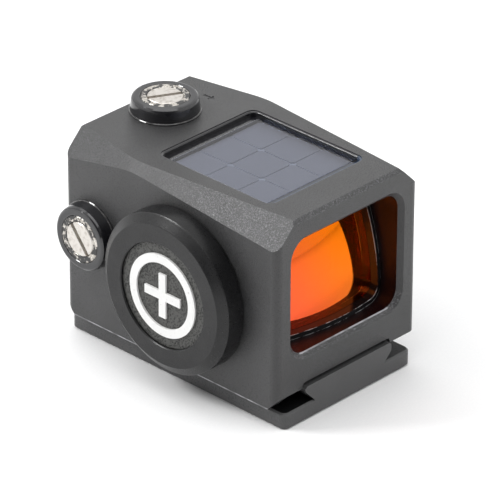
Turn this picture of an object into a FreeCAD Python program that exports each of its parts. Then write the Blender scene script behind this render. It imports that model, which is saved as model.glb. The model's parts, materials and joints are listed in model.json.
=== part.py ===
import FreeCAD, Part
import math
import os

# Enclosed red dot finder: a faceted aluminium housing clamped on a dovetail base plate.
# Millimetres. +X is the button side, -X the battery side, -Y the target side, +Y the eye side, +Z up.
# The origin is the centre of the base plate's underside.

V = FreeCAD.Vector
OUT = "parts"
OVERCUT = 1.0                    # how far a cutting tool runs past the face it opens
NEAR = 0.05                      # tolerance when edges are picked by where they lie

# Base plate and dovetail
PLATE_HALF_WIDTH = 14.8
PLATE_HALF_LENGTH = 24.0
PLATE_CORNER = 1.2
FLANGE_TOP = 2.9
FLANGE_BEVEL = 0.3
RAIL_TOP = 6.0
RAIL_HALF = 10.0
RAIL_ROOT_HALF = 7.8             # dovetail on the fixed jaw's side
RAIL_LIP_BOTTOM = 5.2
CLAMP_ROOT_HALF = 8.4            # and its heavier lip on the clamp's side
CLAMP_LIP_BOTTOM = 4.5
RAIL_LIP_TOP = 5.6
RAIL_TOP_HALF = 9.6
BOLT_X = 5.5
BOLT_Y = 14.0
BOLT_HOLE_R = 1.6
BOLT_HEAD_R = 3.0

# Housing
HALF_WIDTH = 16.25
HALF_LENGTH = 23.5
BOTTOM = 5.7
CHANNEL_TOP = 6.2                # underside between the jaws, over the rail
TOP = 36.3
CORNER_R = 1.4
FRONT_BEVEL = 0.65
REAR_BEVEL = 0.3
SHOULDER_TOP_X = 12.0            # half-width of the flat roof at both ends
SHOULDER_KINK_X = 14.9           # and where the two facets meet
SHOULDER_KINK_Y = 8.6
SHOULDER_DROP = 4.25             # how far the facets run down the sides at both ends
KINK_ROUND = 22.0
KINK_REACH = 2.0
SKIRT_BOTTOM = 3.7
SKIRT_INNER_X = 13.6
SKIRT_FRONT_Y = -21.6
SKIRT_REAR_Y = 21.7
RELIEF_HALF = 10.0
RELIEF_TOP_HALF = 6.8
RELIEF_TOP = 9.1
RELIEF_DEPTH = 0.12
RELIEF_SLOT_TOP = 6.55
RELIEF_SLOT_Y = -19.5
PAD_ROOT = 0.5                   # how far a resting pad reaches into the housing
PADS_Y = ((-19.4, -17.4), (15.0, 20.0))    # where the housing rests on the rail
ARROW_X = 8.9                    # engraved arrow beside the elevation turret
ARROW_Y = 15.6
ARROW_DEPTH = 0.12
ARROW_HALF = 0.8
ARROW_SHAFT_HALF = 0.25
ARROW_TIP = 1.3
ARROW_NECK = 0.2
ARROW_TAIL = 1.2

# Front hood and objective
WINDOW_Z = 21.9
HOOD_HALF_W = 12.3
HOOD_HALF_H = 10.15
HOOD_CORNER = 3.0
HOOD_BEVEL = 0.8
HOOD_BEVEL_DEPTH = 0.8
HOOD_FLOOR_Y = -9.6
SEAL_T = 0.6
CELL_GAP = 0.05
CELL_WALL = 0.85
CELL_LIP = 0.8
LENS_Y = -17.8                   # front vertex of the lens
LENS_TILT = 13.3                 # its top leans towards the eye, so it aims at the low emitter
LENS_TURN = 4.5                  # and it turns a little towards the emitter's side
LENS_FACES = ((0.0, 40.0), (1.7, 55.0), (3.1, 90.0))    # depth and radius of each face
CELL_STAND = 1.5                 # how far the cell's rim stands in front of the glass

# Light tunnel and rear chamber
TUNNEL_HALF_W = 11.3
TUNNEL_LOW = 12.4
TUNNEL_HIGH = 31.6
TUNNEL_CORNER = 2.5
CHAMBER_Y = 15.45
CHAMBER_HALF_W = 13.25
CHAMBER_LOW = 9.95
CHAMBER_HIGH = 33.65
CHAMBER_CORNER = 1.0
REAR_FRAME_Y = 20.2
REAR_FRAME_END = 23.3
REAR_OPEN_HALF_W = 10.6
REAR_OPEN_LOW = 12.9
REAR_OPEN_HIGH = 30.5
REAR_GLASS_T = 1.4
REAR_SEAT = 0.6
REAR_OPEN_BEVEL = 0.7
REAR_SEAL_T = 0.3
REAR_SEAL_W = 1.2

# Adjusters
TURRET_Y = 17.5
ELEVATION_X = 0.7
WINDAGE_Z = 20.2
TURRET_H = 2.7
TURRET_TOP_R = 5.52
TURRET_BASE_R = 5.75
COLLAR_R = 5.9
COLLAR_H = 0.35
SPIGOT_R = 4.6
SPIGOT_DEPTH = 2.2
SPIGOT_FIT = 0.02
TURRET_CROWN = ((0.0, 0.55), (0.12, 0.25), (0.35, 0.06), (0.6, 0.0))    # rounded edge: inset and drop
COLLAR_BEVEL = 0.1
SHANK_BORE_END = -0.2
SEAL_GROOVE_R = 4.05             # o-ring groove in the spigot
SEAL_GROOVE_LOW = -1.5
SEAL_GROOVE_HIGH = -0.9
SEAL_MIDDLE_R = 4.31
SEAL_WIRE_R = 0.24
RING_R = 4.05
RING_DEPTH = 0.7
RING_LIP_DROP = 0.02
RING_BEVEL = 0.1
RING_FIT = 0.03
RING_SUNK = 0.06
RING_EDGE = 0.09
DISC_R = 2.95
DISC_T = 1.2
DISC_SUNK = 0.05
DISC_EDGE = 0.12
SLOT_W = 0.8
SLOT_DEPTH = 0.6
SHANK_R = 1.25
SHANK_EDGE = 0.15
RUNNING = 0.05                   # radial clearance of a running fit
FRAME_Y0 = 15.5
FRAME_Y1 = 19.7
ADJUST = 0.4                     # travel of both frames, each way
ELEVATION_SLOT_ANGLE = -28.0
WINDAGE_SLOT_ANGLE = 38.0
ELEVATION_TIP = -4.05            # shank tips, below the turrets' seating faces
WINDAGE_TIP = -1.7
PLUNGER_R = 2.0
PLUNGER_HOLE_R = PLUNGER_R + RUNNING
PLUNGER_OUTER = 15.6
PLUNGER_SHOULDER = 13.7
PLUNGER_BORE_END = 14.1
PLUNGER_NOSE_R = 1.0
CONTACT_FIT = 0.02               # air left where two parts press on each other
E_GAP = 0.45                     # room above and below the elevation frame
E_OUTER_HALF = CHAMBER_HALF_W - RUNNING
E_OUTER_LOW = CHAMBER_LOW + E_GAP
E_OUTER_HIGH = CHAMBER_HIGH - E_GAP
E_INNER_HALF = 12.2
E_INNER_LOW = 11.6
E_INNER_HIGH = 31.8
E_CORNER = 1.5
E_INNER_CORNER = 0.5
W_OUTER_HALF = 11.7
W_INNER_HALF = 10.7
W_BAR = 1.05
W_CORNER = 1.0
W_INNER_CORNER = 0.8
W_SETBACK = 0.1                  # how much shallower the inner frame is at each face
NOSE_HOLE_R = 1.5
SPRING_HOLE_R = 1.6
SPRING_SEAT_Z = 8.0
SPRING_SEAT_X = 15.4
SPRING_POCKET_R = 1.5
SPRING_R = 0.9
SPRING_WIRE_R = 0.16
SPRING_TURNS = 4
SPRING_SLACK = 0.1

# Emitter on the windage frame's lower bar
EMITTER_X = 4.5
EMITTER_LOW = E_INNER_LOW + RUNNING + W_BAR
EMITTER_BOARD_H = 2.4
EMITTER_BOARD_HALF_W = 2.4
EMITTER_BOARD_T = 0.8
EMITTER_SETBACK = 0.3            # from the frame's front face to the board
EMITTER_PROUD = 0.2
EMITTER_HALF_W = 0.8
EMITTER_DOME_R = 0.4

# Battery bay and cap (measured outwards from the centre plane, towards -X)
CAP_Y = -2.9
CAP_Z = 18.55
CAP_R = 13.75
CAP_RIM = 16.35
CAP_SHOULDER = 19.85
CAP_FACE = 20.85
CAP_FACE_R = 12.2
CAP_RIM_BEVEL = 0.2
CAP_EDGE = 0.13
CAP_FACE_EDGE = 0.05
RECESS_BEVEL = 0.15
CAP_SEAL_INNER_R = 10.8
CAP_SEAL_FIT = 0.03
CAP_CONTACT_T = 0.2
DISH_HOLE_R = 2.0                # the cap contact's dished spring: hole, foot, slope and flange
DISH_FOOT_R = 4.0
DISH_SLOPE_R = 7.5
DISH_FLANGE_R = 9.5
DISH_LEAN = 0.15
CAP_CEILING = 19.25
RECESS_R = 9.1
RECESS_DEPTH = 0.5
EMBLEM_H = 0.35
EMBLEM_R = 7.2
EMBLEM_LINE = 1.5
EMBLEM_PLUS = 3.9
BOSS_R = 12.0
BOSS_END = 18.75
BAY_R = 10.3
BAY_FLOOR = 13.9
CELL_R = 10.0
CELL_T = 3.2
CELL_START = 14.7
CELL_STEP = 0.35                 # the negative face is smaller than the can
CELL_STEP_IN = 1.1
CELL_EDGE = 0.3
NEGATIVE_T = 0.2
NEGATIVE_R = 3.0
FINGER_COUNT = 3
FINGER_HALF = 0.8
FINGER_REACH = 6.5
FINGER_PAD = 1.0
FINGER_FIT = 0.05
GROOVE_R = 11.35                 # o-ring groove in the boss
GROOVE_START = 16.55
GROOVE_END = 17.25
BATTERY_SEAL_R = 11.7
BATTERY_SEAL_WIRE_R = 0.31

# Solar panel: a square module in a longer recess, with sealant round it
SOLAR_HALF_W = 11.0
SOLAR_Y0 = -17.0
SOLAR_Y1 = 7.8
SOLAR_CORNER = 1.6
SOLAR_FLOOR = 34.0
SOLAR_GLASS_TOP = 35.45
SOLAR_GLASS_T = 0.6
SOLAR_BOARD_T = 0.6
SOLAR_RIM = 0.45                 # sealant on the walls
SOLAR_RIM_DROP = 0.12            # how far it stays below the roof
SOLAR_RIM_ROUND = 0.3
SOLAR_LEDGE = 2.0                # sealant in front of and behind the module
SOLAR_LEDGE_DROP = 0.12          # how far it stays below the glass
SOLAR_FIT = 0.02
SOLAR_MODULE_CORNER = 0.5
SOLAR_COUNT = 3
SOLAR_CELL_GAP = 0.25
SOLAR_CELL_CORNER = 0.45
SOLAR_CELL_CLEAR = 0.02          # air between the cells and the glass

# Electronics bay under the tunnel
BAY_HALF_W = 8.2
BAY_Y0 = -17.0
BAY_Y1 = 13.0
COVER_TOP = 7.0
BAY_INNER_HALF_W = 6.9
BAY_INNER_Y0 = -15.0
BAY_INNER_Y1 = 11.0
BAY_TOP = 9.2
BAY_CORNER = 1.5
BOARD_LOW = 7.3
BOARD_HIGH = 8.1
BOARD_FIT = 0.1
COMPONENTS = (                   # x, y, half sizes and height: controller, inductor, two capacitors
    (-2.5, -9.0, 2.0, 2.0, 0.8),
    (2.6, -4.5, 1.5, 1.5, 0.95),
    (-2.0, 1.5, 1.0, 0.6, 0.6),
    (2.0, 5.0, 1.0, 0.6, 0.6),
)
COVER_SCREW_R = 0.5
COVER_SCREW_HEAD_R = 0.85
COVER_SCREW_TIP = 8.4
COVER_HEAD_T = 0.4
COVER_HEAD_SUNK = 0.02
COVER_SCREW_INSET_X = 0.3
COVER_SCREW_INSET_Y = 1.05

# Buttons on the +X side
BUTTON_Z = 19.5
BUTTON_YS = (-8.0, 1.5)
BUTTON_R = 3.0
BUTTON_PROUD = 0.8
BUTTON_EDGE = 0.45
BUTTON_INNER = 14.85
BUTTON_WELL = 14.05
SWITCH_HALF = 1.95
SWITCH_INNER = 12.6
SWITCH_OUTER = 13.75
SWITCH_TIP = 14.2
SWITCH_TIP_R = 0.8
MARK_HALF = 1.3
MARK_HALF_LINE = 0.25
MARK_DEPTH = 0.2

# Clamp
JAW_HALF_LENGTH = 14.0
JAW_BOTTOM = 3.1
JAW_NOSE_X = 8.55
BAR_NOSE_X = 8.9
BAR_TOP_GAP = 0.2
CLAMP_GAP = 0.15
CLAMP_OUTER = 14.2
CLAMP_Z = 4.35
CLAMP_SHANK_R = 0.9
CLAMP_HEAD_R = 1.25
CLAMP_HEAD_T = 1.5
CLAMP_TIP = 12.6
CLAMP_TIP_GAP = 0.4
CLAMP_GROOVE_BOTTOM = 3.15
CLAMP_GROOVE_GAP = 0.4           # beside the screw in the rail's cross groove
CLAMP_SOCKET_R = 0.75
CLAMP_SOCKET_DEPTH = 1.0
CLAMP_SOCKET_SIDES = 6


def save(name, shape):
    """One STEP file per named piece."""
    shape.exportStep(os.path.join(OUT, name + ".step"))


def box(x0, x1, y0, y1, z0, z1):
    """Block between two corners."""
    return Part.makeBox(x1 - x0, y1 - y0, z1 - z0, V(x0, y0, z0))


def rounded_outline(half_a, half_b, radius):
    """Rounded rectangle about the origin in the XY plane, as a closed wire."""
    a, b = half_a - radius, half_b - radius
    diagonal = radius * math.sqrt(0.5)
    edges = []
    for sx, sy in ((1, 1), (-1, 1), (-1, -1), (1, -1)):
        start = V(sx * half_a, sy * b, 0)
        middle = V(sx * (a + diagonal), sy * (b + diagonal), 0)
        end = V(sx * a, sy * half_b, 0)
        if sx * sy < 0:
            start, end = end, start
        edges.append((start, middle, end))
    parts = []
    for index, (start, middle, end) in enumerate(edges):
        following = edges[(index + 1) % len(edges)][0]
        parts.append(Part.Arc(start, middle, end).toShape())
        parts.append(Part.LineSegment(end, following).toShape())
    return Part.Wire(parts)


def place_xz(shape, x, y, z):
    """Turns a shape drawn in XY so that its Y runs up Z, and moves its origin to a point."""
    shape.rotate(V(0, 0, 0), V(1, 0, 0), 90)
    shape.translate(V(x, y, z))
    return shape


def tunnel(half_w, low, high, radius, y0, y1):
    """Rounded rectangular bar along Y, centred on X = 0."""
    wire = rounded_outline(half_w, (high - low) / 2, radius)
    wire = place_xz(wire, 0, y0, (high + low) / 2)
    return Part.Face(wire).extrude(V(0, y1 - y0, 0))


def slab(half_w, y0, y1, radius, z0, z1):
    """Rounded rectangular block standing on a horizontal plane."""
    wire = rounded_outline(half_w, (y1 - y0) / 2, radius)
    wire.translate(V(0, (y0 + y1) / 2, z0))
    return Part.Face(wire).extrude(V(0, 0, z1 - z0))


def polygon_prism(points, direction):
    """Flat polygon swept along a vector."""
    wire = Part.makePolygon(points + [points[0]])
    return Part.Face(wire).extrude(direction)


def disc_x(x0, x1, y, z, radius):
    """Cylinder along X between two stations."""
    return Part.makeCylinder(radius, x1 - x0, V(x0, y, z), V(1, 0, 0))


def disc_z(x, y, z0, z1, radius):
    """Upright cylinder."""
    return Part.makeCylinder(radius, z1 - z0, V(x, y, z0), V(0, 0, 1))


def revolved(profile):
    """Turns a closed (radius, height) outline about the Z axis."""
    points = [V(r, 0, h) for r, h in profile]
    face = Part.Face(Part.makePolygon(points + [points[0]]))
    return face.revolve(V(0, 0, 0), V(0, 0, 1), 360)


def on_battery_side(shape, y, z, x=0.0):
    """Turns a shape built up Z so that it points out of the -X side."""
    shape.rotate(V(0, 0, 0), V(0, 1, 0), -90)
    shape.translate(V(-x, y, z))
    return shape


def half_space(points, inside, size=120.0):
    """Large block on the far side of the plane through three points, away from the inside point."""
    a, b, c = points
    normal = (b - a).cross(c - a)
    normal.normalize()
    if normal.dot(inside - a) > 0:
        normal = normal * -1
    block = Part.makeBox(size, size, size, V(-size / 2, -size / 2, 0))
    block.Placement = FreeCAD.Placement(a, FreeCAD.Rotation(V(0, 0, 1), normal))
    return block


def edges_where(shape, test):
    """Edges whose two ends both pass a test."""
    return [e for e in shape.Edges if all(test(v.Point) for v in e.Vertexes)]


def shoulder_cuts(side):
    """The two tapered facets on one shoulder: one from the front, one from the rear."""
    cuts = []
    for end in (-1, 1):
        roof_end = V(side * SHOULDER_TOP_X, end * HALF_LENGTH, TOP)
        kink = V(side * SHOULDER_KINK_X, SHOULDER_KINK_Y, TOP)
        side_end = V(side * HALF_WIDTH, end * HALF_LENGTH, TOP - SHOULDER_DROP)
        cuts.append(half_space((roof_end, kink, side_end), V(0, 0, WINDOW_Z)))
    return cuts


def housing_block():
    """Outer form of the housing: block, faceted shoulders, soft kink, bevelled ends."""
    block = slab(HALF_WIDTH, -HALF_LENGTH, HALF_LENGTH, CORNER_R, BOTTOM, TOP)
    for side in (-1, 1):
        for cut in shoulder_cuts(side):
            block = block.cut(cut)
    kinks = edges_where(block, lambda p: abs(p.y - SHOULDER_KINK_Y) < KINK_REACH and p.z > WINDOW_Z)
    block = block.makeFillet(KINK_ROUND, kinks)
    for y, bevel in ((-HALF_LENGTH, FRONT_BEVEL), (HALF_LENGTH, REAR_BEVEL)):
        ends = edges_where(block, lambda p: abs(p.y - y) < NEAR and p.z > TOP - NEAR)
        block = block.makeChamfer(bevel, ends)
    return block


def rail_channel():
    """Shallow channel along the underside, a clamping gap wider than the rail on each side."""
    half = RAIL_HALF + CLAMP_GAP
    end = HALF_LENGTH + OVERCUT
    return box(-half, half, -end, end, BOTTOM - OVERCUT, CHANNEL_TOP)


def skirt_and_jaw():
    """Deeper wall under the battery side, and the fixed jaw that hooks under the dovetail."""
    outline = [
        V(-HALF_WIDTH, -HALF_LENGTH, BOTTOM),
        V(-HALF_WIDTH, SKIRT_FRONT_Y, SKIRT_BOTTOM),
        V(-HALF_WIDTH, SKIRT_REAR_Y, SKIRT_BOTTOM),
        V(-HALF_WIDTH, HALF_LENGTH, BOTTOM),
    ]
    skirt = polygon_prism(outline, V(HALF_WIDTH - SKIRT_INNER_X, 0, 0))
    corners = slab(HALF_WIDTH, -HALF_LENGTH, HALF_LENGTH, CORNER_R, SKIRT_BOTTOM, BOTTOM)
    skirt = skirt.common(corners)
    lip = RAIL_HALF + CLAMP_GAP
    jaw_outline = [
        V(-SKIRT_INNER_X - OVERCUT, -JAW_HALF_LENGTH, BOTTOM),
        V(-lip, -JAW_HALF_LENGTH, BOTTOM),
        V(-lip, -JAW_HALF_LENGTH, RAIL_LIP_BOTTOM),
        V(-JAW_NOSE_X, -JAW_HALF_LENGTH, JAW_BOTTOM),
        V(-SKIRT_INNER_X, -JAW_HALF_LENGTH, JAW_BOTTOM),
        V(-SKIRT_INNER_X - OVERCUT, -JAW_HALF_LENGTH, SKIRT_BOTTOM),
    ]
    jaw = polygon_prism(jaw_outline, V(0, 2 * JAW_HALF_LENGTH, 0))
    return skirt.fuse(jaw)


def front_relief():
    """Shallow sloping notch over the front of the dovetail, and the slot behind it."""
    front = -HALF_LENGTH
    outline = [
        V(-RELIEF_HALF, front, CHANNEL_TOP),
        V(RELIEF_HALF, front, CHANNEL_TOP),
        V(RELIEF_TOP_HALF, front, RELIEF_TOP),
        V(-RELIEF_TOP_HALF, front, RELIEF_TOP),
    ]
    notch = polygon_prism(outline, V(0, RELIEF_DEPTH, 0))
    slope = [
        V(-HALF_WIDTH, front, CHANNEL_TOP),
        V(-HALF_WIDTH, front + RELIEF_DEPTH, CHANNEL_TOP),
        V(-HALF_WIDTH, front, RELIEF_TOP),
    ]
    wedge = polygon_prism(slope, V(2 * HALF_WIDTH, 0, 0))
    slot = box(-RELIEF_HALF, RELIEF_HALF, front, RELIEF_SLOT_Y, CHANNEL_TOP, RELIEF_SLOT_TOP)
    return notch.common(wedge).fuse(slot)


def hood_opening():
    """Bevelled front window and the pocket behind it."""
    low, high = WINDOW_Z - HOOD_HALF_H, WINDOW_Z + HOOD_HALF_H
    pocket = tunnel(HOOD_HALF_W, low, high, HOOD_CORNER, -HALF_LENGTH - OVERCUT, HOOD_FLOOR_Y)
    outer = rounded_outline(HOOD_HALF_W + HOOD_BEVEL, HOOD_HALF_H + HOOD_BEVEL, HOOD_CORNER + HOOD_BEVEL)
    inner = rounded_outline(HOOD_HALF_W, HOOD_HALF_H, HOOD_CORNER)
    outer = place_xz(outer, 0, -HALF_LENGTH, WINDOW_Z)
    inner = place_xz(inner, 0, -HALF_LENGTH + HOOD_BEVEL_DEPTH, WINDOW_Z)
    bevel = Part.makeLoft([outer, inner], True, True)
    return pocket.fuse(bevel)


def turret_hole(depth):
    """Stepped hole for a turret's spigot, shank and collar, along Z from the outer face down."""
    spigot = Part.makeCylinder(SPIGOT_R, SPIGOT_DEPTH + OVERCUT, V(0, 0, -SPIGOT_DEPTH))
    shank = Part.makeCylinder(PLUNGER_HOLE_R, depth + OVERCUT, V(0, 0, -depth - OVERCUT / 2))
    return spigot.fuse(shank)


def housing():
    """The machined shell: outer form, dovetail jaw, then every pocket and bore."""
    shell = housing_block().cut(rail_channel()).fuse(skirt_and_jaw())
    boss = disc_x(-BOSS_END, -HALF_WIDTH + OVERCUT, CAP_Y, CAP_Z, BOSS_R)
    shell = shell.fuse(boss).removeSplitter()
    for y0, y1 in PADS_Y:
        pad = box(-BAY_INNER_HALF_W, BAY_INNER_HALF_W, y0, y1, RAIL_TOP, CHANNEL_TOP + PAD_ROOT)
        shell = shell.fuse(pad)
    cuts = [front_relief(), hood_opening()]
    cuts.append(tunnel(TUNNEL_HALF_W, TUNNEL_LOW, TUNNEL_HIGH, TUNNEL_CORNER, HOOD_FLOOR_Y, CHAMBER_Y))
    cuts.append(
        tunnel(CHAMBER_HALF_W, CHAMBER_LOW, CHAMBER_HIGH, CHAMBER_CORNER, CHAMBER_Y, HALF_LENGTH + OVERCUT)
    )
    cuts.append(slab(SOLAR_HALF_W, SOLAR_Y0, SOLAR_Y1, SOLAR_CORNER, SOLAR_FLOOR, TOP + OVERCUT))
    cuts.append(disc_x(-BOSS_END - OVERCUT, -BAY_FLOOR, CAP_Y, CAP_Z, BAY_R))
    cuts.append(battery_groove())
    roof = TOP - CHAMBER_HIGH
    hole = turret_hole(roof)
    hole.translate(V(ELEVATION_X, TURRET_Y, TOP))
    cuts.append(hole)
    wall = HALF_WIDTH - CHAMBER_HALF_W
    cuts.append(on_battery_side(turret_hole(wall), TURRET_Y, WINDAGE_Z, HALF_WIDTH))
    cuts.append(disc_z(0, TURRET_Y, SPRING_SEAT_Z, CHAMBER_LOW + OVERCUT, SPRING_POCKET_R))
    cuts.append(disc_x(CHAMBER_HALF_W - OVERCUT, SPRING_SEAT_X, TURRET_Y, WINDAGE_Z, SPRING_POCKET_R))
    cuts.append(slab(BAY_HALF_W, BAY_Y0, BAY_Y1, BAY_CORNER, CHANNEL_TOP - OVERCUT, COVER_TOP))
    start = COVER_TOP - OVERCUT
    cuts.append(slab(BAY_INNER_HALF_W, BAY_INNER_Y0, BAY_INNER_Y1, BAY_CORNER, start, BAY_TOP))
    for x, y in cover_screw_places():
        cuts.append(disc_z(x, y, COVER_TOP - OVERCUT, COVER_SCREW_TIP, COVER_SCREW_R))
    for y in BUTTON_YS:
        cuts.append(disc_x(BUTTON_WELL, HALF_WIDTH + OVERCUT, y, BUTTON_Z, BUTTON_R + RUNNING))
        cuts.append(switch_block(y, SWITCH_INNER, BUTTON_WELL + OVERCUT, SWITCH_HALF + RUNNING))
    bore_end = -CLAMP_TIP - CLAMP_TIP_GAP
    cuts.append(disc_x(bore_end, -JAW_NOSE_X + OVERCUT, 0, CLAMP_Z, CLAMP_SHANK_R + RUNNING))
    cuts.append(arrow_mark())
    for cut in cuts:
        shell = shell.cut(cut)
    return shell


def switch_block(y, x0, x1, half):
    """Square block on a button's axis."""
    return box(x0, x1, y - half, y + half, BUTTON_Z - half, BUTTON_Z + half)


def arrow_mark():
    """Small engraved arrow beside the elevation turret: which way is up."""
    outline = []
    for x, y in (
        (-ARROW_SHAFT_HALF, ARROW_TAIL),
        (-ARROW_SHAFT_HALF, -ARROW_NECK),
        (-ARROW_HALF, -ARROW_NECK),
        (0, -ARROW_TIP),
        (ARROW_HALF, -ARROW_NECK),
        (ARROW_SHAFT_HALF, -ARROW_NECK),
        (ARROW_SHAFT_HALF, ARROW_TAIL),
    ):
        outline.append(V(ARROW_X + x, ARROW_Y + y, TOP - ARROW_DEPTH))
    return polygon_prism(outline, V(0, 0, ARROW_DEPTH + OVERCUT))


def battery_groove():
    """O-ring groove round the battery boss."""
    outer = disc_x(-GROOVE_END, -GROOVE_START, CAP_Y, CAP_Z, BOSS_R + OVERCUT)
    return outer.cut(disc_x(-GROOVE_END, -GROOVE_START, CAP_Y, CAP_Z, GROOVE_R))


def base_plate():
    """Flange with a raised dovetail, a cross groove for the clamp screw and four bolt holes."""
    flange = slab(PLATE_HALF_WIDTH, -PLATE_HALF_LENGTH, PLATE_HALF_LENGTH, PLATE_CORNER, 0, FLANGE_TOP)
    rims = edges_where(flange, lambda p: p.z > FLANGE_TOP - NEAR or p.z < NEAR)
    rims = [e for e in rims if abs(e.Vertexes[0].Z - e.Vertexes[-1].Z) < NEAR]
    flange = flange.makeChamfer(FLANGE_BEVEL, rims)
    profile = [
        V(-RAIL_ROOT_HALF, -PLATE_HALF_LENGTH, FLANGE_TOP - FLANGE_BEVEL * 2),
        V(-RAIL_ROOT_HALF, -PLATE_HALF_LENGTH, FLANGE_TOP),
        V(-RAIL_HALF, -PLATE_HALF_LENGTH, RAIL_LIP_BOTTOM),
        V(-RAIL_HALF, -PLATE_HALF_LENGTH, RAIL_LIP_TOP),
        V(-RAIL_TOP_HALF, -PLATE_HALF_LENGTH, RAIL_TOP),
        V(RAIL_TOP_HALF, -PLATE_HALF_LENGTH, RAIL_TOP),
        V(RAIL_HALF, -PLATE_HALF_LENGTH, RAIL_LIP_TOP),
        V(RAIL_HALF, -PLATE_HALF_LENGTH, CLAMP_LIP_BOTTOM),
        V(CLAMP_ROOT_HALF, -PLATE_HALF_LENGTH, FLANGE_TOP),
        V(CLAMP_ROOT_HALF, -PLATE_HALF_LENGTH, FLANGE_TOP - FLANGE_BEVEL * 2),
    ]
    rail = polygon_prism(profile, V(0, 2 * PLATE_HALF_LENGTH, 0))
    plate = flange.fuse(rail).removeSplitter()
    groove_half = CLAMP_SHANK_R + CLAMP_GROOVE_GAP
    reach = RAIL_HALF + OVERCUT
    groove = box(-reach, reach, -groove_half, groove_half, CLAMP_GROOVE_BOTTOM, RAIL_TOP + OVERCUT)
    plate = plate.cut(groove)
    for sx in (-1, 1):
        for sy in (-1, 1):
            plate = plate.cut(disc_z(sx * BOLT_X, sy * BOLT_Y, -OVERCUT, RAIL_TOP, BOLT_HOLE_R))
            plate = plate.cut(disc_z(sx * BOLT_X, sy * BOLT_Y, FLANGE_TOP, RAIL_TOP + OVERCUT, BOLT_HEAD_R))
    return plate


def clamp_bar():
    """Sliding jaw on the open side of the dovetail."""
    lip = RAIL_HALF + CLAMP_GAP
    profile = [
        V(lip, -JAW_HALF_LENGTH, BOTTOM - BAR_TOP_GAP),
        V(lip, -JAW_HALF_LENGTH, CLAMP_LIP_BOTTOM),
        V(BAR_NOSE_X, -JAW_HALF_LENGTH, JAW_BOTTOM),
        V(CLAMP_OUTER, -JAW_HALF_LENGTH, JAW_BOTTOM),
        V(CLAMP_OUTER, -JAW_HALF_LENGTH, BOTTOM - BAR_TOP_GAP),
    ]
    bar = polygon_prism(profile, V(0, 2 * JAW_HALF_LENGTH, 0))
    return bar.cut(disc_x(BAR_NOSE_X - OVERCUT, CLAMP_OUTER + OVERCUT, 0, CLAMP_Z, CLAMP_SHANK_R + RUNNING))


def clamp_screw():
    """Socket screw across the dovetail: head outside the bar, tip in the fixed jaw."""
    shank = disc_x(-CLAMP_TIP, CLAMP_OUTER, 0, CLAMP_Z, CLAMP_SHANK_R)
    head = disc_x(CLAMP_OUTER, CLAMP_OUTER + CLAMP_HEAD_T, 0, CLAMP_Z, CLAMP_HEAD_R)
    floor = CLAMP_OUTER + CLAMP_HEAD_T - CLAMP_SOCKET_DEPTH
    points = []
    for step in range(CLAMP_SOCKET_SIDES):
        angle = math.tau * step / CLAMP_SOCKET_SIDES
        y = CLAMP_SOCKET_R * math.cos(angle)
        points.append(V(floor, y, CLAMP_Z + CLAMP_SOCKET_R * math.sin(angle)))
    socket = polygon_prism(points, V(CLAMP_SOCKET_DEPTH + OVERCUT, 0, 0))
    return shank.fuse(head).removeSplitter().cut(socket)


def lens_ball(depth, radius):
    """Ball that bounds one lens face: its near pole is that depth behind the front vertex."""
    tilt = math.radians(LENS_TILT)
    turn = math.radians(LENS_TURN)
    level = math.cos(tilt)
    towards_eye = V(math.sin(turn) * level, math.cos(turn) * level, -math.sin(tilt))
    centre = V(0, LENS_Y, WINDOW_Z) + towards_eye * (depth + radius)
    return Part.makeSphere(radius, centre)


def lens_bar(inset, y0, y1):
    """Rounded bar that fits the hood pocket with a given inset."""
    low, high = WINDOW_Z - HOOD_HALF_H + inset, WINDOW_Z + HOOD_HALF_H - inset
    return tunnel(HOOD_HALF_W - inset, low, high, HOOD_CORNER - inset, y0, y1)


def lens_element(front, back):
    """Meniscus between two lens faces, cut to the rounded rectangle."""
    blank = lens_bar(CELL_GAP + CELL_WALL + RUNNING, -HALF_LENGTH, HOOD_FLOOR_Y)
    return blank.common(lens_ball(*front)).cut(lens_ball(*back))


def objective_cell():
    """Frame round the lens: its front edge follows the lens, and a lip behind holds it."""
    end = HOOD_FLOOR_Y - SEAL_T
    body = lens_bar(CELL_GAP, -HALF_LENGTH + HOOD_BEVEL_DEPTH, end)
    front_depth, front_radius = LENS_FACES[0]
    body = body.common(lens_ball(front_depth - CELL_STAND, front_radius + CELL_STAND))
    seat = lens_bar(CELL_GAP + CELL_WALL, -HALF_LENGTH, end + OVERCUT)
    seat = seat.cut(lens_ball(*LENS_FACES[2]))
    light = lens_bar(CELL_GAP + CELL_WALL + CELL_LIP, -HALF_LENGTH, end + OVERCUT)
    return body.cut(seat).cut(light)


def objective_seal():
    """Flat ring between the cell and the hood floor."""
    start = HOOD_FLOOR_Y - SEAL_T
    outer = lens_bar(CELL_GAP, start, HOOD_FLOOR_Y)
    return outer.cut(lens_bar(CELL_GAP + CELL_WALL + CELL_LIP, start - OVERCUT, HOOD_FLOOR_Y + OVERCUT))


def chamber_bar(inset, y0, y1):
    """Rounded bar that fits the rear chamber with a given inset."""
    low, high = CHAMBER_LOW + inset, CHAMBER_HIGH - inset
    return tunnel(CHAMBER_HALF_W - inset, low, high, CHAMBER_CORNER, y0, y1)


def eye_bar(grow, y0, y1):
    """Rounded bar the size of the eye window, grown all round."""
    low, high = REAR_OPEN_LOW - grow, REAR_OPEN_HIGH + grow
    return tunnel(REAR_OPEN_HALF_W + grow, low, high, TUNNEL_CORNER + grow, y0, y1)


def eye_outline(grow, y):
    """Outline of the eye window, grown all round, at one depth."""
    half_h = (REAR_OPEN_HIGH - REAR_OPEN_LOW) / 2
    wire = rounded_outline(REAR_OPEN_HALF_W + grow, half_h + grow, TUNNEL_CORNER + grow)
    return place_xz(wire, 0, y, (REAR_OPEN_HIGH + REAR_OPEN_LOW) / 2)


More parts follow.
